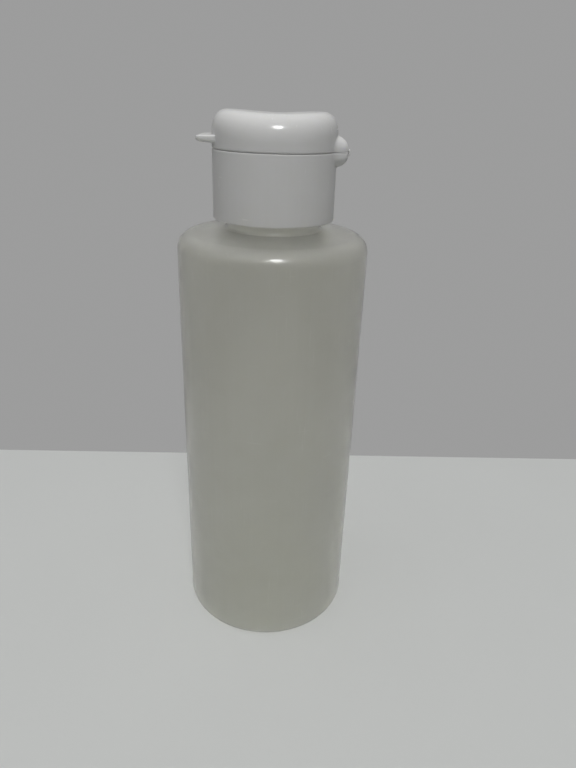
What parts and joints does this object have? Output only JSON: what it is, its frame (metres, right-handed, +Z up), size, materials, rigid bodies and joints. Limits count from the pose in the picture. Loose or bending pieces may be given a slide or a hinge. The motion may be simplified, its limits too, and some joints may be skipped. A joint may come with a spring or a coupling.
{
  "type": "wash bottle",
  "caption": "Round translucent squeeze bottle with a threaded neck, a white screw cap with a pouring nozzle, and a hinged flip lid with a thumb tab.",
  "frame": {"origin": "on the bottle's axis, in the plane of the standing ring under its base", "axes": "+Z up along the bottle's axis, +X towards the lid's hinge, -X towards the lid's thumb tab"},
  "size_m": [0.04, 0.04, 0.1172],
  "materials": {
    "natural_polyethylene": "translucent milky squeeze plastic, fine satin skin from the blow mould",
    "white_polypropylene": "smooth white moulded plastic, soft gloss",
    "seal_foam": "matt foamed sealing sheet"
  },
  "bodies": {
    "bottle": {"bottle": "natural_polyethylene"},
    "seal": {"sealing_ring": "seal_foam"},
    "cap": {"cap_base": "white_polypropylene", "hinge_film_front": "white_polypropylene", "hinge_film_rear": "white_polypropylene"},
    "lid": {"flip_lid": "white_polypropylene"}
  },
  "joints": [
    {"name": "cap_rise", "type": "slide", "parent": "bottle", "child": "seal", "axis": [0, 0, 1], "range_m": [0, 0.00375]},
    {"name": "cap_turn", "type": "hinge", "parent": "seal", "child": "cap", "pos_m": [0, 0, 0.1], "axis": [0, 0, 1], "range_deg": [0, 450]},
    {"name": "lid_flip", "type": "hinge", "parent": "cap", "child": "lid", "pos_m": [0.0146, 0, 0.11013], "axis": [0, 1, 0], "range_deg": [0, 170], "deforming": ["hinge_film_front", "hinge_film_rear"]}
  ],
  "couplings": [
    {"joint": "cap_rise", "follows": "cap_turn", "m_per_rad": 0.00047746}
  ]
}
